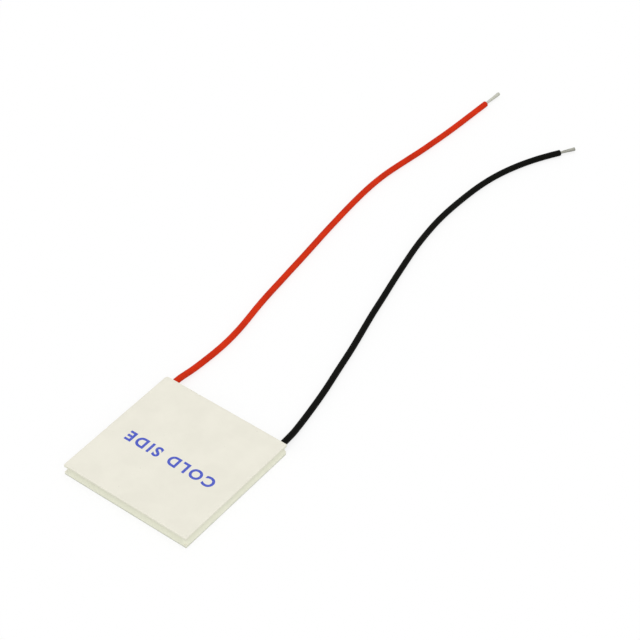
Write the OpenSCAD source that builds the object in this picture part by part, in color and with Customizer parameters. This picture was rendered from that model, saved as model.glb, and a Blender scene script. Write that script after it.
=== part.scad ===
// Thermoelectric cooling module with two leads.
// Two ceramic plates hold a square pattern of semiconductor pellets between them. Copper tabs
// join the pellets into one chain that runs up one column and down the next, taking n-type and
// p-type pellets in turn. A bead of sealant closes the gap round the edge.
// The hot plate lies on z = 0, the cold plate is on top, and the leads leave towards +Y.

/* [Pellets] */
// Columns of pellets, side by side along X
columns = 16; // [4:2:20]
// Rows of pellets, along Y
rows = 16; // [4:2:20]
// Width of a square pellet
pellet_w = 1.4; // [1:0.1:2]
// Height of a pellet
pellet_h = 1.2; // [0.8:0.1:2.5]
// Gap between one pellet and the next
pellet_gap = 1.0; // [0.5:0.1:1.5]

/* [Copper tabs and solder] */
// Thickness of a copper tab
tab_t = 0.3; // [0.15:0.05:0.5]
// How far a tab reaches past the sides of its pellets
tab_lip = 0.1; // [0.05:0.05:0.2]
// Thickness of the solder between a pellet and a tab
solder_t = 0.05; // [0.03:0.01:0.1]

/* [Plates and sealant] */
// Thickness of a ceramic plate
plate_t = 0.8; // [0.5:0.05:1.5]
// Clearance between the outer tabs and the sealant
tab_clear = 0.15; // [0.05:0.05:0.5]
// Width of the sealant bead
seal_w = 0.55; // [0.3:0.05:1.5]
// How far the bead lies in from the edges of the plates
seal_recess = 0.5; // [0.1:0.05:1]
// Radius of the bead's outer corners
seal_corner_r = 1.2; // [0.5:0.1:2]

/* [Leads] */
// Diameter of a lead over its insulation
lead_d = 1.7; // [1.2:0.1:2.4]
// Diameter of a lead's bare conductor
wire_d = 0.8; // [0.5:0.05:1]
// Bare length at the free end of the red lead
red_tip_l = 6.7; // [3:0.1:12]
// Bare length at the free end of the black lead
black_tip_l = 4.9; // [3:0.1:12]
// Thickness of the solder round the conductor over its tab
wire_solder_t = 0.15; // [0.05:0.05:0.2]
// Bare tab left on each side of that solder
wire_solder_inset = 0.1; // [0.05:0.05:0.3]

/* [Hidden] */
// Pattern of cells, one pellet to a cell. The first and the last cell take a lead instead.
pitch = pellet_w + pellet_gap;
cells = columns * rows;
bank_cells = 2 * rows;
banks = columns / 2;
tab_w = pellet_w + 2 * tab_lip;

// Heights, from the hot plate's outer face
hot_tab_z = plate_t;
hot_solder_z = hot_tab_z + tab_t;
pellet_z = hot_solder_z + solder_t;
cold_solder_z = pellet_z + pellet_h;
cold_tab_z = cold_solder_z + solder_t;
cold_plate_z = cold_tab_z + tab_t;
gap_h = cold_plate_z - plate_t;

// Plan of the sealant and the plates, outwards from the pattern of tabs
seal_inner = [(columns - 1) * pitch, (rows - 1) * pitch] + (tab_w + 2 * tab_clear) * [1, 1];
seal_outer = seal_inner + 2 * seal_w * [1, 1];
plate = seal_outer + 2 * seal_recess * [1, 1];

// A lead is soldered down over the last cell of an outermost column, half way up the gap
lead_x = (columns - 1) / 2 * pitch;
lead_y = (rows - 1) / 2 * pitch;
lead_z = plate_t + gap_h / 2;
lead_r = lead_d / 2;
sides = 8;
cut_past = 1;

// Routes of the leads on the table: [across, out, lift] from where each leaves the plates,
// with lift 1 at the height of the gap and 0 lying on the table
red_route = [
    [0, 0, 1], [0, 1.5, 1], [0, 3.5, 0.8], [0.1, 6, 0.35], [0.2, 8, 0.1], [0.3, 10, 0],
    [0.6, 15, 0], [0.7, 20, 0], [0.4, 25, 0], [-0.2, 30, 0], [-1.1, 35, 0], [-1.9, 40, 0],
    [-2.5, 45, 0], [-3, 50, 0], [-3.6, 55, 0], [-4.1, 60, 0], [-4.7, 65, 0], [-5.3, 70, 0],
    [-5.9, 75, 0], [-6.4, 80, 0], [-6.9, 85, 0], [-7.3, 90, 0], [-7.6, 95, 0], [-7.7, 100, 0],
    [-7.5, 105, 0], [-6.9, 110, 0], [-6.2, 115, 0], [-5.5, 120, 0], [-5, 125, 0], [-4.5, 130, 0],
    [-4.1, 135, 0], [-3.8, 140, 0], [-3.5, 146, 0], [-3.23, 150.9, 0]
];
black_route = [
    [0, 0, 1], [0, 1.5, 1], [-0.2, 3.5, 0.8], [-0.5, 6, 0.35], [-0.9, 8, 0.1], [-1.2, 10, 0],
    [-2, 15, 0], [-2.9, 20, 0], [-3.9, 25, 0], [-5.1, 30, 0], [-6.2, 35, 0], [-7.3, 40, 0],
    [-8.6, 45, 0], [-9.9, 50, 0], [-11.2, 55, 0], [-12.3, 60, 0], [-13.5, 65, 0], [-14.7, 70, 0],
    [-15.8, 75, 0], [-16.9, 80, 0], [-17.9, 85, 0], [-18.6, 90, 0], [-19.2, 95, 0],
    [-19.5, 100, 0], [-19.5, 105, 0], [-19.3, 110, 0], [-19, 115, 0], [-18.4, 120, 0],
    [-17.4, 125, 0], [-15.9, 130, 0], [-14, 135, 0], [-11.6, 140, 0], [-8.6, 145, 0]
];

ceramic = [0.93, 0.91, 0.86];
silicone = [0.87, 0.87, 0.8];
copper = [0.72, 0.45, 0.3];
tin = [0.75, 0.75, 0.77];
n_grey = [0.36, 0.38, 0.43];
p_grey = [0.27, 0.27, 0.29];

// --- Pattern of cells ---

// The chain takes the cells column by column, down one and up the next
function cell_column(k) = floor(k / rows);
function cell_row(k) = cell_column(k) % 2 == 0 ? rows - 1 - k % rows : k % rows;
function cell_at(k) = pitch * [cell_column(k) - (columns - 1) / 2, cell_row(k) - (rows - 1) / 2];

// Cells of one bank, two neighbouring columns, that are odd (1) or even (0) along the chain
function bank_chain(bank, odd) =
    [for (k = [(bank - 1) * bank_cells + odd : 2 : bank * bank_cells - 1]) k];

function has_pellet(k) = k > 0 && k < cells - 1;

// A square block on one cell
module cell_block(k, z, h) {
    translate([each cell_at(k), z] - [pellet_w / 2, pellet_w / 2, 0])
        cube([pellet_w, pellet_w, h]);
}

// A tab from cell k to the next one along the chain
module tab(k, z) {
    from = cell_at(k);
    to = cell_at(k + 1);
    size = [abs(to.x - from.x), abs(to.y - from.y)] + tab_w * [1, 1];
    translate([each (from + to - size) / 2, z])
        cube([each size, tab_t]);
}

module pellets(bank, odd) {
    for (k = bank_chain(bank, odd))
        if (has_pellet(k)) cell_block(k, pellet_z, pellet_h);
}

module n_pellets(bank) {
    color(n_grey) pellets(bank, 1);
}

module p_pellets(bank) {
    color(p_grey) pellets(bank, 0);
}

// Hot tabs start at even cells, so the first and the last carry a lead
module hot_tabs(bank) {
    color(copper)
        for (k = bank_chain(bank, 0)) tab(k, hot_tab_z);
}

// Cold tabs start at odd cells, and one of them crosses from each column to the next
module cold_tabs(bank) {
    color(copper)
        for (k = bank_chain(bank, 1))
            if (k < cells - 1) tab(k, cold_tab_z);
}

module solder_layer(z) {
    color(tin)
        for (k = [0 : cells - 1])
            if (has_pellet(k)) cell_block(k, z, solder_t);
}

module hot_side_solder() {
    solder_layer(hot_solder_z);
}

module cold_side_solder() {
    solder_layer(cold_solder_z);
}

// --- Plates and sealant ---

module ceramic_plate(z) {
    color(ceramic)
        translate([-plate.x / 2, -plate.y / 2, z])
            cube([plate.x, plate.y, plate_t]);
}

module hot_plate() {
    ceramic_plate(0);
}

module cold_plate() {
    ceramic_plate(cold_plate_z);
}

module rounded_rectangle(size, r) {
    square([size.x - 2 * r, size.y], center = true);
    square([size.x, size.y - 2 * r], center = true);
    for (x = [-1, 1], y = [-1, 1])
        translate([x * (size.x / 2 - r), y * (size.y / 2 - r)]) circle(r, $fn = 48);
}

// The bead fills out to the plates' edge round each lead, whose insulation butts against it
module edge_sealant() {
    lead_fill_depth = seal_w / 2 + seal_recess;
    color(silicone)
        difference() {
            translate([0, 0, plate_t])
                linear_extrude(gap_h)
                    difference() {
                        union() {
                            rounded_rectangle(seal_outer, seal_corner_r);
                            for (side = [-1, 1])
                                translate([side * lead_x - lead_r, plate.y / 2 - lead_fill_depth])
                                    square([lead_d, lead_fill_depth]);
                        }
                        square(seal_inner, center = true);
                    }
            for (side = [-1, 1]) inner_wire(side, cut_past);
        }
}

// --- Leads ---

// The stripped end of a lead, from the plates' edge, or past it, to the far side of its tab
module inner_wire(side, past = 0) {
    from_y = plate.y / 2 + past;
    to_y = lead_y - tab_w / 2;
    translate([side * lead_x, from_y, lead_z])
        rotate([90, 0, 0])
            cylinder(d = wire_d, h = from_y - to_y, $fn = 32);
}

module lead_inner_end(side) {
    color(tin) inner_wire(side);
}

// Solder that rises from the tab round the stripped end
module lead_solder(side) {
    w = tab_w - 2 * wire_solder_inset;
    color(tin)
        difference() {
            translate([side * lead_x, lead_y + w / 2, 0])
                hull() {
                    translate([-w / 2, -w, hot_solder_z]) cube([w, w, solder_t]);
                    translate([0, 0, lead_z]) rotate([90, 0, 0])
                        cylinder(d = wire_d + 2 * wire_solder_t, h = w, $fn = 24);
                }
            inner_wire(side);
        }
}

function lead_path(route, side) = [
    for (p = route) [side * lead_x + p[0], plate.y / 2 + p[1], lead_r + p[2] * (lead_z - lead_r)]
];

function unit(v) = v / norm(v);

function heading(path, i) = unit(path[min(i + 1, len(path) - 1)] - path[max(i - 1, 0)]);

// One ring of a lead, with a flat side down
function ring(path, i) =
    let (
        along = heading(path, i),
        across = unit(cross(along, [0, 0, 1])),
        up = cross(across, along),
        corner_r = lead_r / cos(180 / sides)
    )
    [for (k = [0 : sides - 1])
        let (a = (k + 0.5) * 360 / sides) path[i] + corner_r * (cos(a) * across + sin(a) * up)];

module lead(route, side) {
    path = lead_path(route, side);
    last = len(path) - 1;
    polyhedron(
        points = [for (i = [0 : last]) each ring(path, i)],
        faces = concat(
            [[for (k = [0 : sides - 1]) k]],
            [for (i = [0 : last - 1], k = [0 : sides - 1])
                let (a = i * sides, b = (k + 1) % sides) [a + k, a + sides + k, a + sides + b, a + b]],
            [[for (k = [sides - 1 : -1 : 0]) last * sides + k]]
        )
    );
}

// The bare, tinned end of a lead goes on in line with the insulation
module lead_tip(route, side, length) {
    path = lead_path(route, side);
    last = len(path) - 1;
    way = heading(path, last);
    color(tin)
        translate(path[last])
            rotate([0, 90, atan2(way.y, way.x)])
                cylinder(d = wire_d, h = length, $fn = 32);
}

module red_lead() {
    color([0.89, 0.22, 0.11]) lead(red_route, -1);
}

module black_lead() {
    color([0.08, 0.08, 0.07]) lead(black_route, 1);
}

cold_plate();
hot_plate();
edge_sealant();
for (i = [1:banks]) {
    n_pellets(i);
    p_pellets(i);
    hot_tabs(i);
    cold_tabs(i);
}
hot_side_solder();
cold_side_solder();
red_lead();
lead_tip(red_route, -1, red_tip_l);  // red_lead_tip
lead_inner_end(-1);  // red_lead_inner_end
lead_solder(-1);  // red_lead_solder
black_lead();
lead_tip(black_route, 1, black_tip_l);  // black_lead_tip
lead_inner_end(1);  // black_lead_inner_end
lead_solder(1);  // black_lead_solder
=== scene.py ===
"""Looks of a thermoelectric cooling module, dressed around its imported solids.

Two alumina plates, the silicone bead between their edges, two PVC leads with tinned
ends and a printed face mark are modelled here. The copper tabs, the pellets and the
solder between the plates are carried over and get their finishes. Lengths are metres.
"""

import logging
import math
from collections.abc import Callable
from dataclasses import dataclass, field
from enum import Enum
from itertools import zip_longest
from typing import Any

import bmesh
import bpy
from mathutils import Matrix, Vector, noise


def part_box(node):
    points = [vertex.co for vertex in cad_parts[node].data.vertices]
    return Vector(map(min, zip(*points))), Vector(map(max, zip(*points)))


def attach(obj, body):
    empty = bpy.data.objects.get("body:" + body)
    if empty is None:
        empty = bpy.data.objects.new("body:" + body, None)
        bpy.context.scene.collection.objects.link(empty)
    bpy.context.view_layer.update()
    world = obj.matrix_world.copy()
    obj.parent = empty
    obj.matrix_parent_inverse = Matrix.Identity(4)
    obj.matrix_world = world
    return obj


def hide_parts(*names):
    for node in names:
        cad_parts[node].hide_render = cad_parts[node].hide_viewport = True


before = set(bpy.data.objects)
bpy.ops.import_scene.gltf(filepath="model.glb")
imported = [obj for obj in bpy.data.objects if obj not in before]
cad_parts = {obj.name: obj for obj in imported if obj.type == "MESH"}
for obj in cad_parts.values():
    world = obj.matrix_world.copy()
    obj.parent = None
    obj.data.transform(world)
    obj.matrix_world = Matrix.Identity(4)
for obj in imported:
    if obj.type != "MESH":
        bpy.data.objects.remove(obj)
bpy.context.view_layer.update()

MM = 0.001
BODY = "root"
# Points closer than this are merged, and edges closer than this to a height lie at it.
SAME_POINT = 0.0005 * MM
SAME_LEVEL = 0.001 * MM
# A wave texture of scale 1 goes through this many radians in a metre.
WAVE_STEPS = 20
log = logging.getLogger("cooling_module")


# ---- colours and nodes


def linear(code: str) -> tuple[float, float, float, float]:
    """Turns an sRGB hex colour into the linear one that shaders use.

    Args:
        code: colour as six hex digits after a hash sign.

    Returns:
        Red, green, blue and a full alpha, each from 0 to 1.
    """
    parts = [int(code[i : i + 2], 16) / 255 for i in (1, 3, 5)]
    red, green, blue = (p / 12.92 if p <= 0.04045 else ((p + 0.055) / 1.055) ** 2.4 for p in parts)
    return red, green, blue, 1.0


def per_metre(size_mm: float) -> float:
    """Gives the texture scale at which a pattern's features are size_mm across."""
    return 1 / (size_mm * MM)


def add_node(
    tree: bpy.types.NodeTree, kind: str, feeds: dict[str | int, Any] | None = None, **settings: Any
) -> bpy.types.Node:
    """Adds one shader node with its settings, its values and its links.

    Args:
        tree: node tree that the node goes into.
        kind: Blender's name for the node, without "ShaderNode".
        feeds: inputs by name or number, each a value, the output that feeds it, or the
            node whose first output in use feeds it.
        settings: the node's own attributes, such as an operation.

    Returns:
        The new node.
    """
    node = tree.nodes.new("ShaderNode" + kind)
    for name, value in settings.items():
        setattr(node, name, value)
    for name, value in (feeds or {}).items():
        if isinstance(value, bpy.types.Node):
            value = next(output for output in value.outputs if output.enabled)
        if isinstance(value, bpy.types.NodeSocket):
            tree.links.new(value, node.inputs[name])
        else:
            node.inputs[name].default_value = value
    return node


# ---- finishes


@dataclass(frozen=True)
class Finish:
    """What a surface is made of and how it was made."""

    name: str

    def shader(self, tree: bpy.types.NodeTree) -> bpy.types.Node:
        """Builds the finish's nodes and gives back the last one."""
        raise NotImplementedError

    def material(self) -> bpy.types.Material:
        """Makes the finish's material once, and gives the same one back after that.

        Returns:
            The Blender material.
        """
        made = bpy.data.materials.get(self.name)
        if made is None:
            made = bpy.data.materials.new(self.name)
            made.use_nodes = True
            made.node_tree.nodes.clear()
            shown = self.shader(made.node_tree)
            add_node(made.node_tree, "OutputMaterial", {"Surface": shown})
        return made


@dataclass(frozen=True)
class FiredAlumina(Finish):
    """Tape-cast 96% alumina as it leaves the kiln: matt, faintly cream, very fine grain.

    Firing leaves soft cloudy patches a few millimetres wide, and now and then an iron
    speck burns in as a grey-brown dot.
    """

    body: str = "#ECE9DB"
    cloud: str = "#E8E5D7"
    speck: str = "#C9C3B3"
    cloud_mm: float = 5.5
    speck_pitch_mm: float = 3.4
    # Real grain is about 0.01 mm: drawn at 0.22 mm so that it shows at all.
    grain_mm: float = 0.22
    grain_depth_mm: float = 0.006
    scribed: bool = False
    # Laser scribing leaves a row of half holes 0.12 mm apart, drawn at 0.35 mm.
    scribe_mm: float = 0.35
    scribe_depth_mm: float = 0.012
    # Heights between which painted shade fades out, darkest at the first: it darkens an
    # edge towards one rim.
    painted_shade_mm: tuple[float, float] | None = None
    painted_shade_tone: str = "#AEAEA2"

    def shader(self, tree: bpy.types.NodeTree) -> bpy.types.Node:
        """Builds the finish's nodes and gives back the last one."""
        place = add_node(tree, "TexCoord").outputs["Object"]
        clouds = add_node(
            tree, "TexNoise", {"Vector": place, "Scale": per_metre(self.cloud_mm), "Detail": 4.0}
        )
        spread = add_node(tree, "MapRange", {"Value": clouds, "From Min": 0.35, "From Max": 0.65})
        tone = add_node(
            tree, "Mix", {0: spread, 6: linear(self.body), 7: linear(self.cloud)}, data_type="RGBA"
        )
        cells = add_node(tree, "TexVoronoi", {"Vector": place, "Scale": per_metre(self.speck_pitch_mm)})
        speck = add_node(
            tree,
            "MapRange",
            {"Value": cells, "From Min": 0.02, "From Max": 0.05, "To Min": 0.7, "To Max": 0.0},
        )
        colour = add_node(tree, "Mix", {0: speck, 6: tone, 7: linear(self.speck)}, data_type="RGBA")
        # Painted shade: the colour is darkened towards one rim of the edge.
        if self.painted_shade_mm:
            height = add_node(tree, "SeparateXYZ", {"Vector": place})
            painted_shade_share = add_node(
                tree,
                "MapRange",
                {
                    "Value": height.outputs["Z"],
                    "From Min": self.painted_shade_mm[0] * MM,
                    "From Max": self.painted_shade_mm[1] * MM,
                    "To Min": 0.9,
                    "To Max": 0.0,
                },
            )
            colour = add_node(
                tree, "Mix", {0: painted_shade_share, 6: colour, 7: linear(self.painted_shade_tone)}, data_type="RGBA"
            )
        grain = add_node(
            tree, "TexNoise", {"Vector": place, "Scale": per_metre(self.grain_mm), "Detail": 2.0}
        )
        surface = add_node(
            tree, "Bump", {"Strength": 0.5, "Distance": self.grain_depth_mm * MM, "Height": grain}
        )
        if self.scribed:
            run = add_node(tree, "Mapping", {"Vector": place, "Scale": (1.0, 1.0, 0.0)})
            scallops = add_node(
                tree,
                "TexWave",
                {
                    "Vector": run,
                    "Scale": math.tau * per_metre(self.scribe_mm) / WAVE_STEPS,
                    "Distortion": 1.5,
                    "Detail": 2.0,
                },
                bands_direction="DIAGONAL",
            )
            surface = add_node(
                tree,
                "Bump",
                {
                    "Strength": 0.5,
                    "Distance": self.scribe_depth_mm * MM,
                    "Height": scallops.outputs["Fac"],
                    "Normal": surface,
                },
            )
        matt = add_node(tree, "MapRange", {"Value": grain, "To Min": 0.52, "To Max": 0.68})
        return add_node(
            tree,
            "BsdfPrincipled",
            {"Base Color": colour, "Roughness": matt, "IOR": 1.6, "Normal": surface},
        )


@dataclass(frozen=True)
class SiliconeSealant(Finish):
    """Neutral-cure silicone pressed in by hand: translucent, smooth, a little lumpy.

    Where the film over the array is thin it shows a grey-green cast, and where it is
    thick it is milky. The film attribute on the bead says which. The film is thinnest
    where the bead sinks back under the upper plate, so the thin colour is also painted
    shade of that recess.
    """

    # The thin colour is the array showing through, and partly painted shade of the recess.
    thin: str = "#E3E4CF"
    thick: str = "#F0F0DC"
    lump_mm: float = 1.3
    lump_depth_mm: float = 0.025
    bubble_pitch_mm: float = 1.6

    def shader(self, tree: bpy.types.NodeTree) -> bpy.types.Node:
        """Builds the finish's nodes and gives back the last one."""
        place = add_node(tree, "TexCoord").outputs["Object"]
        film = add_node(tree, "Attribute", attribute_name="film")
        lumps = add_node(
            tree, "TexNoise", {"Vector": place, "Scale": per_metre(self.lump_mm), "Detail": 3.0}
        )
        uneven = add_node(
            tree, "Math", {0: lumps, 1: 0.35, 2: film.outputs["Fac"]}, operation="MULTIPLY_ADD"
        )
        # Thin film is darker: the array showing through, and painted shade where the bead is recessed.
        milky = add_node(tree, "MapRange", {"Value": uneven, "From Min": 0.6, "From Max": 1.3})
        colour = add_node(
            tree, "Mix", {0: milky, 6: linear(self.thin), 7: linear(self.thick)}, data_type="RGBA"
        )
        bubbles = add_node(
            tree, "TexVoronoi", {"Vector": place, "Scale": per_metre(self.bubble_pitch_mm)}
        )
        pits = add_node(tree, "MapRange", {"Value": bubbles, "From Min": 0.04, "From Max": 0.1})
        pitted = add_node(
            tree, "Bump", {"Strength": 0.4, "Distance": 0.5 * self.lump_depth_mm * MM, "Height": pits}
        )
        surface = add_node(
            tree,
            "Bump",
            {"Strength": 0.6, "Distance": self.lump_depth_mm * MM, "Height": lumps, "Normal": pitted},
        )
        gloss = add_node(tree, "MapRange", {"Value": lumps, "To Min": 0.34, "To Max": 0.52})
        return add_node(
            tree,
            "BsdfPrincipled",
            {"Base Color": colour, "Roughness": gloss, "IOR": 1.41, "Normal": surface},
        )


@dataclass(frozen=True)
class ExtrudedPvc(Finish):
    """Extruded PVC insulation: even colour, satin, fine lines along the lead.

    Handling leaves slightly duller patches, and the die leaves lines that run the whole
    length, which the lead's own UV map carries.
    """

    body: str = "#DA3411"
    dull: str = "#C32B11"
    satin: float = 0.52
    patch_mm: float = 4.0
    # Die lines are about 0.03 mm apart: drawn as 22 round the lead so that they show.
    die_lines: float = 22.0
    line_depth_mm: float = 0.025

    def shader(self, tree: bpy.types.NodeTree) -> bpy.types.Node:
        """Builds the finish's nodes and gives back the last one."""
        spots = add_node(tree, "TexCoord")
        patches = add_node(
            tree,
            "TexNoise",
            {"Vector": spots.outputs["Object"], "Scale": per_metre(self.patch_mm), "Detail": 4.0},
        )
        along = add_node(
            tree, "Mapping", {"Vector": spots.outputs["UV"], "Scale": (3.0, self.die_lines, 1.0)}
        )
        lines = add_node(tree, "TexNoise", {"Vector": along, "Scale": 1.0, "Detail": 1.0})
        uneven = add_node(tree, "Math", {0: patches, 1: lines}, operation="ADD")
        dulled = add_node(tree, "MapRange", {"Value": uneven, "From Min": 0.7, "From Max": 1.3})
        colour = add_node(
            tree, "Mix", {0: dulled, 6: linear(self.body), 7: linear(self.dull)}, data_type="RGBA"
        )
        surface = add_node(
            tree, "Bump", {"Strength": 0.4, "Distance": self.line_depth_mm * MM, "Height": lines}
        )
        gloss = add_node(
            tree,
            "MapRange",
            {
                "Value": patches,
                "From Min": 0.3,
                "From Max": 0.7,
                "To Min": self.satin - 0.05,
                "To Max": self.satin + 0.08,
            },
        )
        return add_node(
            tree,
            "BsdfPrincipled",
            {
                "Base Color": colour,
                "Roughness": gloss,
                "IOR": 1.53,
                "Specular IOR Level": 0.04,
                "Normal": surface,
            },
        )


@dataclass(frozen=True)
class GrainyMetal(Finish):
    """A soft metal whose grain or oxide makes it uneven in tone and in gloss."""

    bright: str = "#A6A69F"
    dark: str = "#7E7E77"
    grain_mm: float = 0.3
    rough: tuple[float, float] = (0.3, 0.48)
    relief_mm: float = 0.01

    def shader(self, tree: bpy.types.NodeTree) -> bpy.types.Node:
        """Builds the finish's nodes and gives back the last one."""
        place = add_node(tree, "TexCoord").outputs["Object"]
        grain = add_node(
            tree, "TexNoise", {"Vector": place, "Scale": per_metre(self.grain_mm), "Detail": 3.0}
        )
        spread = add_node(tree, "MapRange", {"Value": grain, "From Min": 0.3, "From Max": 0.7})
        colour = add_node(
            tree, "Mix", {0: spread, 6: linear(self.bright), 7: linear(self.dark)}, data_type="RGBA"
        )
        gloss = add_node(
            tree, "MapRange", {"Value": spread, "To Min": self.rough[0], "To Max": self.rough[1]}
        )
        surface = add_node(
            tree, "Bump", {"Strength": 0.5, "Distance": self.relief_mm * MM, "Height": grain}
        )
        return add_node(
            tree,
            "BsdfPrincipled",
            {"Base Color": colour, "Metallic": 1.0, "Roughness": gloss, "Normal": surface},
        )


@dataclass(frozen=True)
class ZonedCrystal(Finish):
    """Zone-melted bismuth telluride, sawn: dark silvery grains that catch light apart."""

    bright: str = "#8E9095"
    dark: str = "#55575C"
    # Cleavage grains are 0.1 to 0.5 mm wide, as drawn.
    grain_mm: float = 0.25

    def shader(self, tree: bpy.types.NodeTree) -> bpy.types.Node:
        """Builds the finish's nodes and gives back the last one."""
        place = add_node(tree, "TexCoord").outputs["Object"]
        upright = add_node(tree, "Mapping", {"Vector": place, "Scale": (1.0, 1.0, 0.35)})
        grains = add_node(tree, "TexVoronoi", {"Vector": upright, "Scale": per_metre(self.grain_mm)})
        pick = add_node(tree, "SeparateColor", {"Color": grains.outputs["Color"]})
        colour = add_node(
            tree,
            "Mix",
            {0: pick.outputs["Red"], 6: linear(self.bright), 7: linear(self.dark)},
            data_type="RGBA",
        )
        gloss = add_node(
            tree, "MapRange", {"Value": pick.outputs["Green"], "To Min": 0.25, "To Max": 0.55}
        )
        return add_node(
            tree, "BsdfPrincipled", {"Base Color": colour, "Metallic": 0.9, "Roughness": gloss}
        )


@dataclass(frozen=True)
class PadPrintInk(Finish):
    """Two-part pad printing ink: thin and even, paler where the pad let go unevenly."""

    full: str = "#384CBF"
    starved: str = "#6E7ACD"
    # A pad leaves voids of about 0.05 mm: drawn at 0.3 mm so that they show.
    void_mm: float = 0.3

    def shader(self, tree: bpy.types.NodeTree) -> bpy.types.Node:
        """Builds the finish's nodes and gives back the last one."""
        place = add_node(tree, "TexCoord").outputs["Object"]
        voids = add_node(
            tree, "TexNoise", {"Vector": place, "Scale": per_metre(self.void_mm), "Detail": 3.0}
        )
        thin = add_node(tree, "MapRange", {"Value": voids, "From Min": 0.5, "From Max": 0.75})
        colour = add_node(
            tree, "Mix", {0: thin, 6: linear(self.full), 7: linear(self.starved)}, data_type="RGBA"
        )
        return add_node(tree, "BsdfPrincipled", {"Base Color": colour, "Roughness": 0.5, "IOR": 1.5})


@dataclass(frozen=True)
class StudioFloor(Finish):
    """White sweep: shows white to the eye and in gloss, and still takes a soft shadow."""

    # Share of the light that the sweep throws back at the object.
    bounce: float = 0.85
    # Share of its whiteness that a full shadow would take away.
    shade: float = 0.22
    light: float = 1.0

    def shader(self, tree: bpy.types.NodeTree) -> bpy.types.Node:
        """Builds the finish's nodes and gives back the last one."""
        paper = add_node(tree, "BsdfDiffuse", {"Color": seen_only(tree, self.shade, self.bounce)})
        lift = 1.0 - self.shade * self.light
        glow = add_node(tree, "Emission", {"Strength": seen_only(tree, lift, 0.0)})
        return add_node(tree, "AddShader", {0: paper, 1: glow})


def seen_only(tree: bpy.types.NodeTree, seen: float, otherwise: float) -> bpy.types.Node:
    """Gives one value to what is looked at, mirrored or seen through, and one to the rest.

    Args:
        tree: node tree that the nodes go into.
        seen: value for camera, glossy and transmission rays.
        otherwise: value for every other ray.

    Returns:
        The node that holds the value.
    """
    path = add_node(tree, "LightPath")
    seen_or_mirrored = add_node(
        tree,
        "Math",
        {0: path.outputs["Is Camera Ray"], 1: path.outputs["Is Glossy Ray"]},
        operation="MAXIMUM",
    )
    looked_at = add_node(
        tree, "Math", {0: seen_or_mirrored, 1: path.outputs["Is Transmission Ray"]}, operation="MAXIMUM"
    )
    return add_node(tree, "MapRange", {"Value": looked_at, "To Min": otherwise, "To Max": seen})


ALUMINA_FACE = FiredAlumina("fired_alumina_face")
# The edges are drawn paler than the face: painted light that lifts the sides.
# Painted shade darkens the upper plate's edge towards the gap under it.
ALUMINA_EDGE = FiredAlumina(
    "scribed_alumina_edge_painted_light_and_shade",
    body="#F3F1E1",
    cloud="#ECEAD8",
    scribed=True,
    painted_shade_mm=(2.7, 3.7),
    painted_shade_tone="#DEDDCA",
)
# The lower plate's edge, filmed with sealant, is drawn paler than the face: painted
# light that lifts the sides. Painted shade greys its lower rim, next to the floor.
FILMED_EDGE_PAINTED_SHADE = FiredAlumina(
    "sealant_filmed_alumina_edge_painted_light_and_shade", body="#F1F2DF", cloud="#E9EBD6", scribed=True, painted_shade_mm=(0.0, 0.45)
)
SILICONE = SiliconeSealant("silicone_edge_sealant")
RED_PVC = ExtrudedPvc("extruded_red_pvc")
BLACK_PVC = ExtrudedPvc("extruded_black_pvc", body="#040402", dull="#0F0F0B")
TINNED_COPPER = GrainyMetal("tinned_copper_strands", bright="#D0D0C4", dark="#AFAFA4", grain_mm=0.18)
DULL_TINNED_COPPER = GrainyMetal(
    "flux_dulled_tinned_strands", bright="#A1A198", dark="#84847B", grain_mm=0.18
)
ELECTRODE_COPPER = GrainyMetal(
    "rolled_copper_tab", bright="#D9936A", dark="#B97450", rough=(0.22, 0.38)
)
SOLDER = GrainyMetal("bismuth_tin_solder", bright="#C4C4BF", dark="#8F908C")
N_PELLET = ZonedCrystal("n_type_bismuth_telluride")
P_PELLET = ZonedCrystal("p_type_bismuth_telluride", bright="#7F8087", dark="#494A50")
INK = PadPrintInk("blue_pad_print_ink")


# ---- shaping by operators


class Part(Enum):
    """What a selection in edit mode is made of."""

    VERTEX = "VERT"
    EDGE = "EDGE"
    FACE = "FACE"


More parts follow.
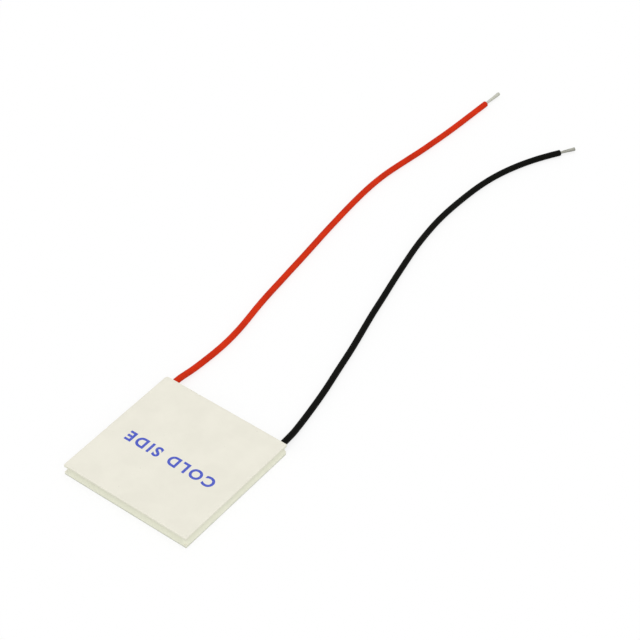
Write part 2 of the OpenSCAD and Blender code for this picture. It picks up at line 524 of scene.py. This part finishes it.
@dataclass
class Bench:
    """A mesh opened in edit mode, shaped with Blender's own operators."""

    obj: bpy.types.Object

    @staticmethod
    def clear() -> None:
        """Leaves edit mode and lets go of every object."""
        if bpy.context.mode != "OBJECT":
            bpy.ops.object.mode_set(mode="OBJECT")
        bpy.ops.object.select_all(action="DESELECT")

    @classmethod
    def hold(cls, obj: bpy.types.Object) -> None:
        """Leaves edit mode and selects one object alone."""
        cls.clear()
        obj.select_set(True)
        bpy.context.view_layer.objects.active = obj

    @classmethod
    def take_up(cls, name: str) -> "Bench":
        """Names the object just added, puts its place into its mesh and opens it.

        Args:
            name: name for the object and its mesh.

        Returns:
            The bench with that object in edit mode.
        """
        obj = bpy.context.object
        obj.name = obj.data.name = name
        bpy.ops.object.transform_apply(location=True, rotation=True, scale=True)
        bpy.ops.object.mode_set(mode="EDIT")
        return cls(obj)

    def pick(self, part: Part, wanted: Callable[[Vector, Vector], bool]) -> int:
        """Selects only what passes a test.

        Args:
            part: vertices, edges or faces.
            wanted: test of a middle point and a direction, which is an edge's run, or
                the normal of a face or vertex.

        Returns:
            How many passed.
        """
        bpy.ops.mesh.select_mode(type=part.value)
        bpy.ops.mesh.select_all(action="DESELECT")
        mesh = bmesh.from_edit_mesh(self.obj.data)
        if part is Part.VERTEX:
            found = [v for v in mesh.verts if wanted(v.co, v.normal)]
        elif part is Part.EDGE:
            ends = [(e, e.verts[0].co, e.verts[1].co) for e in mesh.edges]
            found = [e for e, a, b in ends if wanted((a + b) / 2, b - a)]
        else:
            found = [f for f in mesh.faces if wanted(f.calc_center_median(), f.normal)]
        for item in found:
            item.select = True
        mesh.select_flush_mode()
        bmesh.update_edit_mesh(self.obj.data)
        return len(found)

    def pick_open_edges(self, wanted: Callable[[Vector, Vector], bool]) -> None:
        """Selects the open edges that pass a test, as pick does.

        Args:
            wanted: test of an edge's middle point and its run.
        """
        bpy.ops.mesh.select_mode(type="EDGE")
        bpy.ops.mesh.select_all(action="DESELECT")
        mesh = bmesh.from_edit_mesh(self.obj.data)
        for edge in mesh.edges:
            a, b = (v.co for v in edge.verts)
            if edge.is_boundary and wanted((a + b) / 2, b - a):
                edge.select = True
        bmesh.update_edit_mesh(self.obj.data)

    def pick_rim(self, level: float) -> None:
        """Selects the open edges that lie at one height."""
        self.pick_open_edges(lambda middle, run: abs(middle.z - level) < SAME_LEVEL)

    def grow_ring(self, move: Vector, spread: float, centre: Vector) -> None:
        """Extrudes the selected ring of edges and then widens or narrows it in plan.

        Args:
            move: how far the new ring stands from the old one.
            spread: factor on its size in X and Y.
            centre: point that it is widened about.
        """
        bpy.ops.mesh.extrude_edges_move(TRANSFORM_OT_translate={"value": move})
        bpy.ops.transform.resize(value=(spread, spread, 1.0), center_override=centre)

    def close_up(self, smooth_below: float) -> bpy.types.Object:
        """Merges doubles, turns every face outwards, leaves edit mode and shades.

        Args:
            smooth_below: edges flatter than this many degrees are shaded smooth.

        Returns:
            The finished object.
        """
        bpy.ops.mesh.select_all(action="SELECT")
        bpy.ops.mesh.remove_doubles(threshold=SAME_POINT)
        bpy.ops.mesh.normals_make_consistent(inside=False)
        bpy.ops.object.mode_set(mode="OBJECT")
        bpy.ops.object.shade_smooth_by_angle(angle=math.radians(smooth_below))
        return self.obj


def square_outline(
    name: str,
    side: float,
    corner: float,
    level: float,
    cuts: int,
    worn: tuple[int, int, float] | None = None,
) -> Bench:
    """Starts a piece as a closed square line of short edges with rounded corners.

    Args:
        name: name for the piece.
        side: length of the square's side.
        corner: radius of its corners.
        level: height of the line.
        cuts: cuts in each side, made twice, so that a side has (cuts + 1)² edges.
        worn: signs of X and Y of one corner that is rounder, and its radius.

    Returns:
        The bench, with the whole line selected.
    """
    Bench.clear()
    bpy.ops.mesh.primitive_plane_add(size=side, location=(0.0, 0.0, level))
    bench = Bench.take_up(name)
    for x, y in ((-1, -1), (1, -1), (1, 1), (-1, 1)):
        radius = worn[2] if worn and worn[:2] == (x, y) else corner
        spot = Vector((x, y, 0.0)) * side / 2
        bench.pick(Part.VERTEX, lambda place, normal, spot=spot: (place.xy - spot.xy).length < MM)
        bpy.ops.mesh.bevel(offset=radius, segments=4, affect="VERTICES")
    bpy.ops.mesh.select_all(action="SELECT")
    bpy.ops.mesh.delete(type="ONLY_FACE")
    bench.pick(Part.EDGE, lambda middle, run: run.length > side / 2)
    for _ in range(2):
        bpy.ops.mesh.subdivide(number_cuts=cuts)
    bpy.ops.mesh.select_all(action="SELECT")
    return bench


def dress(
    obj: bpy.types.Object, *finishes: Finish, slot: str = "", stands_for: str = ""
) -> bpy.types.Object:
    """Gives a new piece its materials, its body and the node that it stands for.

    Args:
        obj: the piece.
        finishes: its finishes, in the order of its material slots.
        slot: the record's material slot, if it has one for this piece. Not used.
        stands_for: the CAD node that the piece replaces, if any.

    Returns:
        The same piece.
    """
    obj.data.materials.clear()
    for finish in finishes:
        obj.data.materials.append(finish.material())
    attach(obj, BODY)
    if stands_for:
        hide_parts(stands_for)
    log.info("%s: %d faces", obj.name, len(obj.data.polygons))
    return obj


# ---- camera and light


@dataclass
class StudioCamera:
    """A long lens that looks down on the module from its front right corner."""

    azimuth: float = 36.767
    elevation: float = 43.499
    roll: float = 0.885
    distance: float = 544.317 * MM
    # How far the module's bottom centre sits from the picture's middle, right and up.
    module_at: tuple[float, float] = (-36.469 * MM, -36.518 * MM)
    lens_mm: float = 120.543
    sensor_mm: float = 36.0
    clip: tuple[float, float] = (0.02, 20.0)

    def build(self) -> None:
        """Adds the camera and makes it the scene's own."""
        turn, tilt = math.radians(self.azimuth), math.radians(self.elevation)
        back = Vector(
            (math.sin(turn) * math.cos(tilt), -math.cos(turn) * math.cos(tilt), math.sin(tilt))
        )
        level = Vector((0, 0, 1)).cross(back).normalized()
        upright = back.cross(level)
        roll = math.radians(self.roll)
        right = level * math.cos(roll) + upright * math.sin(roll)
        up = upright * math.cos(roll) - level * math.sin(roll)
        axes = Matrix((right, up, back)).transposed()
        across, above = self.module_at
        spot = back * self.distance - right * across - up * above
        Bench.clear()
        bpy.ops.object.camera_add(location=spot, rotation=axes.to_euler())
        camera = bpy.context.object
        camera.name = "studio_camera"
        camera.data.lens = self.lens_mm
        camera.data.sensor_width = self.sensor_mm
        camera.data.clip_start, camera.data.clip_end = self.clip
        bpy.context.scene.camera = camera
        log.info("camera at %s", [round(value, 4) for value in spot])


@dataclass(frozen=True)
class Softbox:
    """A wide soft lamp, as a share of the light on a level surface."""

    name: str
    azimuth: float
    elevation: float
    share: float
    width: float

    def build(self) -> None:
        """Adds the lamp, far away and as wide as the softbox looks."""
        Bench.clear()
        bpy.ops.object.light_add(
            type="SUN", rotation=(math.radians(90 - self.elevation), 0.0, math.radians(self.azimuth))
        )
        lamp = bpy.context.object
        lamp.name = self.name
        lamp.data.angle = math.radians(self.width)
        lamp.data.energy = self.share * math.pi / math.sin(math.radians(self.elevation))


@dataclass
class Studio:
    """A light tent: even light from all round, two softboxes and a white floor."""

    tent: float = 0.7
    softboxes: tuple[Softbox, ...] = (
        Softbox("key_softbox", azimuth=205.0, elevation=78.0, share=0.16, width=40.0),
        Softbox("fill_softbox", azimuth=45.0, elevation=42.0, share=0.14, width=60.0),
    )
    floor_size: float = 9.0
    # The floor lies a hair under the plate, so that the two never share a plane.
    floor_drop: float = 0.02 * MM

    def build(self) -> None:
        """Sets the view transform, the tent, the softboxes and the floor."""
        bpy.context.scene.view_settings.view_transform = "Standard"
        world = bpy.data.worlds.new("light_tent")
        bpy.context.scene.world = world
        world.use_nodes = True
        tree = world.node_tree
        tree.nodes.clear()
        tent = add_node(
            tree,
            "Background",
            {"Color": (1.0, 1.0, 1.0, 1.0), "Strength": seen_only(tree, 1.0, self.tent)},
        )
        add_node(tree, "OutputWorld", {"Surface": tent})
        for softbox in self.softboxes:
            softbox.build()
        light = self.tent + sum(softbox.share for softbox in self.softboxes)
        Bench.clear()
        bpy.ops.mesh.primitive_plane_add(size=self.floor_size, location=(0.0, 0.0, -self.floor_drop))
        floor = Bench.take_up("studio_floor").close_up(smooth_below=30.0)
        sweep = StudioFloor("studio_paper_sweep", light=light)
        floor.data.materials.append(sweep.material())
        log.info("light on the floor: %.3f", light)


# ---- leads


@dataclass
class Lead:
    """One insulated lead, from the sealant to its stripped and tinned end."""

    name: str
    side: float
    finish: Finish
    tinning: Finish
    slot: str
    # The route's points, in millimetres across and out from where the lead leaves the
    # plates.
    across: tuple[float, ...]
    out: tuple[float, ...]
    bare_length: float
    # Height of the first points over a resting lead, as a share of the exit's height
    # over it. The rest lie on the floor.
    lifts: tuple[float, ...] = (1, 1, 0.8, 0.35, 0.1)
    spacing: float = 18.0 * MM
    edge: float = 20.0 * MM
    exit_height: float = 1.75 * MM
    length: float = 150.0 * MM
    # 0.1 mm over the solid's, which is within such a wire's tolerance.
    diameter: float = 1.8 * MM
    wire_diameter: float = 0.8 * MM
    strands: int = 7
    # Corners of one strand that show in a cut across the lead.
    facets: int = 4
    # The insulation starts this far inside the sealant.
    buried: float = 0.7 * MM
    cut_radius: float = 0.12 * MM
    bore_depth: float = 0.5 * MM
    bore_slack: float = 0.03 * MM
    bore_break: float = 0.05 * MM

    @property
    def exit(self) -> Vector:
        """Gives the point where the lead leaves the plates' edge."""
        return Vector((self.side * self.spacing, self.edge, self.exit_height))

    def centreline(self) -> list[Vector]:
        """Gives the route's control points in the module's frame.

        Returns:
            Points from inside the sealant to the end of the insulation.
        """
        resting = self.diameter / 2
        rise = self.exit_height - resting
        start = self.exit - Vector((0.0, self.buried, 0.0))
        laid = [
            Vector((self.exit.x + across * MM, self.edge + out * MM, resting + lift * rise))
            for across, out, lift in zip_longest(self.across, self.out, self.lifts, fillvalue=0)
        ]
        return [start, *laid]

    def run(self) -> bpy.types.Object:
        """Adds the lead's centreline as a smooth curve.

        Returns:
            The curve object.
        """
        curve = bpy.data.curves.new(self.name + "_jacket", "CURVE")
        curve.dimensions = "3D"
        points = self.centreline()
        spline = curve.splines.new("NURBS")
        spline.points.add(len(points) - 1)
        for knot, point in zip(spline.points, points):
            knot.co = (*point, 1.0)
        spline.order_u = 4
        spline.use_endpoint_u = True
        spline.resolution_u = 5
        obj = bpy.data.objects.new(curve.name, curve)
        bpy.context.scene.collection.objects.link(obj)
        return obj

    def build(self) -> None:
        obj = self.run()
        bpy.context.view_layer.update()
        line = [v.co.copy() for v in obj.to_mesh().vertices]
        obj.to_mesh_clear()
        jacket = self.jacket(obj, line)
        dress(jacket, self.finish, slot=self.slot, stands_for=self.name)
        tip = self.tinned_end(line[-1], (line[-1] - line[-2]).normalized())
        dress(tip, self.tinning, slot="tinned_wire", stands_for=self.name + "_tip")

    def jacket(self, obj: bpy.types.Object, line: list[Vector]) -> bpy.types.Object:
        """Makes the insulation as a tube with a cut, slightly rounded end and a bore.

        Args:
            obj: the centreline curve.
            line: the centreline's points.

        Returns:
            The insulation's mesh.
        """
        obj.data.bevel_depth = self.diameter / 2
        obj.data.bevel_resolution = 10
        Bench.hold(obj)
        bpy.ops.object.convert(target="MESH")
        bench = Bench.take_up(self.name + "_jacket")
        bpy.ops.mesh.select_all(action="SELECT")
        bpy.ops.mesh.remove_doubles(threshold=SAME_POINT)
        start, out = line[0], (line[-1] - line[-2]).normalized()
        bench.pick_open_edges(lambda middle, run: (middle - start).length < self.diameter)
        bpy.ops.mesh.edge_face_add()
        bench.pick_open_edges(lambda middle, run: (middle - line[-1]).length < self.diameter)
        end = line[-1] - out * self.cut_radius
        bpy.ops.transform.translate(value=end - line[-1])
        radius, bore = self.diameter / 2, self.wire_diameter / 2 + self.bore_slack
        # Distance past the start of the rounding, and radius there.
        steps = [
            (0.35 * self.cut_radius, radius - 0.06 * self.cut_radius),
            (0.7 * self.cut_radius, radius - 0.3 * self.cut_radius),
            (0.92 * self.cut_radius, radius - 0.65 * self.cut_radius),
            (self.cut_radius, radius - self.cut_radius),
            (self.cut_radius, bore + self.bore_break),
            (self.cut_radius - self.bore_break, bore),
            (-self.bore_depth, bore),
        ]
        reached, width = 0.0, radius
        for along, wide in steps:
            bpy.ops.mesh.extrude_edges_move(TRANSFORM_OT_translate={"value": out * (along - reached)})
            shrink = wide / width
            bpy.ops.transform.resize(value=(shrink, shrink, shrink), center_override=end + out * along)
            reached, width = along, wide
        bpy.ops.mesh.edge_face_add()
        return bench.close_up(smooth_below=40.0)

    def tinned_end(self, root: Vector, axis: Vector) -> bpy.types.Object:
        """Makes the stripped strands, twisted and tinned, a little splayed at the end.

        Args:
            root: the middle of the insulation's cut end.
            axis: direction in which the lead ends.

        Returns:
            The tinned end's mesh.
        """
        # The strands start a little short of the bore's bottom.
        start = -self.bore_depth * 0.9
        Bench.clear()
        bpy.ops.mesh.primitive_circle_add(
            vertices=self.strands * self.facets,
            radius=self.wire_diameter / 2,
            fill_type="NGON",
            location=(0, 0, 0),
        )
        bench = Bench.take_up(self.name + "_tinned_strands")
        middle = Vector((0.0, 0.0, 0.0))
        # Distance from the middle to a groove, as a share of the wire's radius.
        groove = 0.85
        turn = math.tau / self.strands

        def in_groove(spot: Vector, normal: Vector) -> bool:
            """Tells the corners between two strands from those on a strand."""
            phase = math.atan2(spot.y, spot.x) / turn
            return abs(phase - round(phase)) < 0.1

        bench.pick(Part.VERTEX, in_groove)
        bpy.ops.transform.resize(value=(groove, groove, 1.0), center_override=middle)
        bench.pick(Part.FACE, lambda spot, normal: True)
        bpy.ops.transform.translate(value=(0.0, 0.0, start))
        # Distance along the end, width as a share of the wire's, and degrees of twist.
        length = self.bare_length
        profile = [
            (0.0, 0.96, 4),
            (0.10 * length, 0.97, 8),
            (0.22 * length, 1.01, 9),
            (0.34 * length, 1.06, 9),
            (0.46 * length, 1.11, 8),
            (0.58 * length, 1.16, 8),
            (0.70 * length, 1.22, 7),
            (0.82 * length, 1.28, 6),
            (0.92 * length, 1.34, 4),
            (0.97 * length, 1.35, 2),
            (0.99 * length, 1.28, 1),
            (length, 1.12, 1),
        ]
        reached, width = start, 1.0
        for along, wide, twist in profile:
            here = Vector((0.0, 0.0, along))
            bpy.ops.mesh.extrude_region_move(
                TRANSFORM_OT_translate={"value": (0.0, 0.0, along - reached)}
            )
            bpy.ops.transform.resize(value=(wide / width, wide / width, 1.0), center_override=here)
            bpy.ops.transform.rotate(value=math.radians(twist), orient_axis="Z", center_override=here)
            reached, width = along, wide
        # A ring inside the cut face keeps the shading of the end's rim even.
        bpy.ops.mesh.inset(thickness=0.12 * MM)
        obj = bench.close_up(smooth_below=60.0)
        turn_to = Vector((0, 0, 1)).rotation_difference(axis)
        obj.rotation_euler = turn_to.to_euler()
        obj.location = root
        Bench.hold(obj)
        bpy.ops.object.transform_apply(location=True, rotation=True, scale=True)
        return obj


# The leads come down to the floor over the first points. The rest are mostly 5 mm apart.
LANDING = (0, 1.5, 3.5, 6, 8, 10)
RED_OUT = (*LANDING, *range(15, 141, 5), 146, 150.9)
BLACK_OUT = (*LANDING, *range(15, 146, 5))
RED_ACROSS = (
    0, 0, 0, 0.1, 0.2, 0.3, 0.6, 0.7, 0.4, -0.2, -1.1, -1.9, -2.5, -3, -3.6, -4.1, -4.7, -5.3, -5.9,
    -6.4, -6.9, -7.3, -7.6, -7.7, -7.5, -6.9, -6.2, -5.5, -5, -4.5, -4.1, -3.8, -3.5, -3.23,
)  # fmt: skip
BLACK_ACROSS = (
    0, 0, -0.2, -0.5, -0.9, -1.2, -2, -2.9, -3.9, -5.1, -6.2, -7.3, -8.6, -9.9, -11.2, -12.3, -13.5,
    -14.7, -15.8, -16.9, -17.9, -18.6, -19.2, -19.5, -19.5, -19.3, -19, -18.4, -17.4, -15.9, -14,
    -11.6, -8.6,
)  # fmt: skip


# ---- plates and sealant


@dataclass(frozen=True)
class Nick:
    """A small chip out of a plate's rim, in millimetres."""

    x: float
    y: float
    reach: float
    depth: float


@dataclass
class CeramicPlate:
    """One ceramic plate with scribed edges, broken corners and a few small chips."""

    node: str
    edge: Finish
    nicks: tuple[Nick, ...]
    seed: int
    worn: tuple[int, int, float] | None = None
    corner: float = 0.15 * MM
    edge_break: float = 0.05 * MM
    # Width of the faces along the rim, which have to be wider than a chip is deep.
    rim: float = 0.5 * MM
    unevenness: float = 0.006 * MM
    cuts: int = 11

    def build(self) -> None:
        """Makes the plate from its CAD node's box and puts it in that node's place."""
        low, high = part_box(self.node)
        side, thick = high.x - low.x, high.z - low.z
        bench = square_outline(
            self.node + "_ceramic", side - 2 * self.edge_break, self.corner, low.z, self.cuts, self.worn
        )
        # Height on the edge and how far it stands in from the plate's full size.
        rings = [
            (0.3 * self.edge_break, 0.3 * self.edge_break),
            (self.edge_break, 0.0),
            (0.35 * thick, 0.0),
            (0.5 * thick, 0.015 * MM),
            (0.75 * thick, 0.02 * MM),
            (thick - self.edge_break, 0.005 * MM),
            (thick - 0.3 * self.edge_break, 0.3 * self.edge_break),
            (thick, self.edge_break),
        ]
        reached, stand_in = 0.0, self.edge_break
        for height, inset in rings:
            centre = Vector((0.0, 0.0, low.z + height))
            bench.grow_ring(
                Vector((0.0, 0.0, height - reached)), (side - 2 * inset) / (side - 2 * stand_in), centre
            )
            reached, stand_in = height, inset
        # The scribed edge is uneven between its two rims.
        bench.pick(
            Part.VERTEX, lambda spot, normal: low.z + 0.2 * thick < spot.z < high.z - 0.2 * thick
        )
        bpy.ops.transform.vertex_random(offset=self.unevenness, seed=self.seed)
        face_side = side - 2 * self.edge_break
        inwards = (face_side - 2 * self.rim) / face_side
        for level in (low.z, high.z):
            bench.pick_rim(level)
            bench.grow_ring(Vector((0.0, 0.0, 0.0)), inwards, Vector((0.0, 0.0, level)))
            bpy.ops.mesh.edge_face_add()
        self.chip(bench)
        plate = bench.close_up(smooth_below=30.0)
        dress(plate, ALUMINA_FACE, self.edge, slot="alumina_plate", stands_for=self.node)
        # Slot 0 is for the level faces and slot 1 for the edge.
        for face in plate.data.polygons:
            face.material_index = int(abs(face.normal.z) < 0.5)

    def chip(self, bench: Bench) -> None:
        """Pulls the upper rim in and down at each nick.

        Args:
            bench: the plate in edit mode.
        """
        low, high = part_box(self.node)
        rim = high.x - 2 * self.edge_break
        upper = high.z - 0.3 * (high.z - low.z)
        for nick in self.nicks:
            spot = Vector((nick.x, nick.y, 0.0)) * MM
            found = bench.pick(
                Part.VERTEX,
                lambda place, normal, spot=spot, nick=nick: (
                    (place.xy - spot.xy).length < nick.reach * MM
                    and place.z > upper
                    and max(abs(place.x), abs(place.y)) > rim
                ),
            )
            if found:
                pull = -spot.normalized() * nick.depth * MM
                pull.z = -0.6 * nick.depth * MM
                bpy.ops.transform.translate(value=pull)


@dataclass(frozen=True)
class Swell:
    """A place where the bead stands further out, or sinks if out is negative, in mm."""

    x: float
    y: float
    reach: float
    out: float
    # A collar round a lead is left proud, where the rest is wiped off level.
    collar: bool = False


@dataclass
class EdgeSealant:
    """The silicone bead pressed in between the plates, all the way round."""

    node: str = "edge_sealant"
    # From the middle to the outer face, halfway up, and to the inner face.
    mean_half: float = 19.7 * MM
    inner_half: float = 18.95 * MM
    corner: float = 1.0 * MM
    rows: int = 9
    cuts: int = 12
    # The bead runs this far into the plates' faces, so that no gap shows.
    bite: float = 0.02 * MM
    # It was wiped off level with the lower plate and slopes back under the upper one.
    slope: float = 0.26 * MM
    # Wiping took more off the lower half: share of the ripples and swells that is left
    # halfway up, and what the share gains from there to the upper rim.
    kept: float = 0.6
    kept_gain: float = 0.4
    # Heights and lengths of the ripples, in millimetres.
    ripples: tuple[tuple[float, float], ...] = ((0.09, 7.0), (0.03, 1.7))
    swells: tuple[Swell, ...] = (
        Swell(-19.6, -19.6, 3.0, -0.1),
        Swell(-11.0, -19.6, 6.5, -0.1),
        Swell(5.0, -19.6, 6.0, 0.06),
        Swell(19.6, -19.6, 1.6, 0.16),
        Swell(19.6, 19.6, 1.2, -0.1),
        Swell(19.6, -12.0, 6.0, 0.08),
        Swell(19.6, -1.0, 5.0, -0.05),
        Swell(-19.6, 6.0, 5.0, -0.1),
        Swell(-19.6, -8.0, 3.0, 0.06),
        Swell(-18.0, 19.6, 1.7, 0.5, collar=True),
        Swell(18.0, 19.6, 1.7, 0.5, collar=True),
        Swell(-4.0, 19.6, 5.0, 0.1),
    )

    def build(self) -> None:
        """Makes the bead as a closed ring and presses its outer face into shape."""
        low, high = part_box(self.node)
        floor, roof = low.z - self.bite, high.z + self.bite
        bench = square_outline("edge_sealant_bead", 2 * self.mean_half, self.corner, floor, self.cuts)
        step = (roof - floor) / self.rows
        for row in range(self.rows):
            centre = Vector((0.0, 0.0, floor + step * (row + 1)))
            bench.grow_ring(Vector((0.0, 0.0, step)), 1.0, centre)
        narrow = self.inner_half / self.mean_half
        for level in (floor, roof):
            bench.pick_rim(level)
            bench.grow_ring(Vector((0.0, 0.0, 0.0)), narrow, Vector((0.0, 0.0, level)))
        # The two inner rims are joined by the wall that faces the pellets.
        bench.pick_open_edges(lambda middle, run: True)
        bpy.ops.mesh.bridge_edge_loops()
        bead = bench.close_up(smooth_below=70.0)
        self.press(bead, floor, roof)
        dress(bead, SILICONE, slot="edge_sealant", stands_for=self.node)

    def press(self, bead: bpy.types.Object, floor: float, roof: float) -> None:
        """Moves the outer face to where the silicone set, and notes the film over it.

        Args:
            bead: the closed ring.
            floor: height of its lower rim.
            roof: height of its upper rim.
        """
        flat = self.mean_half - self.corner
        middle, half_gap = (floor + roof) / 2, (roof - floor) / 2
        film = bead.data.attributes.new("film", "FLOAT", "POINT")
        for vertex in bead.data.vertices:
            spot = vertex.co
            away = Vector(
                (spot.x - max(-flat, min(flat, spot.x)), spot.y - max(-flat, min(flat, spot.y)), 0.0)
            )
            # The rims' inner edges and the inner wall stay as they are.
            if away.length < 0.9 * self.corner:
                continue
            away.normalize()
            out = self.set_face(spot, away, (spot.z - middle) / half_gap)
            vertex.co = spot + away * out
            film.data[vertex.index].value = (self.mean_half + out - self.inner_half) / MM

    def set_face(self, spot: Vector, away: Vector, up: float) -> float:
        """Gives how far the bead stands out of its even line, in metres.

        Args:
            spot: point on the even bead.
            away: direction in which the bead faces there.
            up: height between the plates, from -1 at the lower to 1 at the upper.

        Returns:
            Distance outwards.
        """
        place = spot / MM
        kept = self.kept + self.kept_gain * up
        ripple = sum(high * noise.noise(place / long) for high, long in self.ripples)
        out = ripple * kept * MM - self.slope * up
        for swell in self.swells:
            gap = math.hypot(place.x - swell.x, place.y - swell.y) / swell.reach
            held = max(0.0, away.y) if swell.collar else kept
            out += swell.out * MM * math.exp(-gap * gap) * held
        return out


# ---- print and core


@dataclass
class FaceMark:
    """The plain words printed on the cold face, which say which face it is."""

    words: str = "COLD SIDE"
    capital: float = 3.2 * MM
    spacing: float = 1.3
    # Every stroke is swollen by this much all round.
    boldness: float = 0.16 * MM
    centre: tuple[float, float] = (0.0, -2.0 * MM)
    ink_depth: float = 0.01 * MM
    # Height of a capital in the built-in lettering, at size 1.
    capital_share: float = 0.7

    def build(self) -> None:
        """Sets the words as a thin film of ink on the upper plate."""
        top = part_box("cold_plate")[1].z
        Bench.clear()
        bpy.ops.object.text_add(location=(0.0, 0.0, 0.0))
        words = bpy.context.object
        words.data.body = self.words
        words.data.size = self.capital / self.capital_share
        words.data.space_character = self.spacing
        words.data.align_x, words.data.align_y = "CENTER", "CENTER"
        words.data.offset = self.boldness
        words.data.extrude = self.ink_depth / 2
        words.data.resolution_u = 6
        bpy.ops.object.convert(target="MESH")
        mark = bpy.context.object
        mark.location = (*self.centre, top + self.ink_depth / 2)
        mark.rotation_euler = (0.0, 0.0, math.pi)
        dress(Bench.take_up("cold_face_mark").close_up(smooth_below=30.0), INK)


@dataclass
class PelletCore:
    """The carried-over array between the plates, and the leads' soldered inner ends."""

    finishes: dict[str, Finish] = field(
        default_factory=lambda: {
            "n_pellets": N_PELLET,
            "p_pellets": P_PELLET,
            "hot_tabs": ELECTRODE_COPPER,
            "cold_tabs": ELECTRODE_COPPER,
            "hot_side_solder": SOLDER,
            "cold_side_solder": SOLDER,
            "red_lead_solder": SOLDER,
            "black_lead_solder": SOLDER,
            "red_lead_inner_end": TINNED_COPPER,
            "black_lead_inner_end": TINNED_COPPER,
        }
    )

    def build(self) -> None:
        """Gives each carried-over node the finish of its kind."""
        for name, node in sorted(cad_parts.items()):
            kinds = [kind for kind in self.finishes if name.startswith(kind)]
            if node.hide_render or not kinds:
                continue
            for holder in node.material_slots:
                holder.material = self.finishes[kinds[0]].material()
            log.info("%s: %s", name, self.finishes[kinds[0]].name)


def main() -> None:
    """Builds the module's looks piece by piece."""
    logging.basicConfig(level=logging.INFO, format="%(message)s")
    StudioCamera().build()
    Lead(
        "red_lead",
        side=-1.0,
        finish=RED_PVC,
        tinning=TINNED_COPPER,
        slot="red_insulation",
        across=RED_ACROSS,
        out=RED_OUT,
        length=152.0 * MM,
        bare_length=6.7 * MM,
    ).build()
    Lead(
        "black_lead",
        side=1.0,
        finish=BLACK_PVC,
        tinning=DULL_TINNED_COPPER,
        slot="black_insulation",
        across=BLACK_ACROSS,
        out=BLACK_OUT,
        bare_length=4.9 * MM,
    ).build()
    Studio().build()
    CeramicPlate(
        "cold_plate",
        edge=ALUMINA_EDGE,
        seed=3,
        nicks=(
            Nick(-19.9, 19.9, 0.5, 0.12),
            Nick(7.4, -20.0, 0.35, 0.06),
            Nick(20.0, 6.3, 0.4, 0.07),
            Nick(-20.0, -4.1, 0.3, 0.06),
            Nick(-9.2, 20.0, 0.35, 0.08),
        ),
    ).build()
    CeramicPlate(
        "hot_plate",
        edge=FILMED_EDGE_PAINTED_SHADE,
        seed=8,
        worn=(1, 1, 0.6 * MM),
        nicks=(
            Nick(-12.6, -20.0, 0.4, 0.07),
            Nick(20.0, -9.5, 0.35, 0.06),
            Nick(-20.0, 11.8, 0.3, 0.07),
        ),
    ).build()
    EdgeSealant().build()
    FaceMark().build()
    PelletCore().build()


if __name__ == "__main__":
    main()
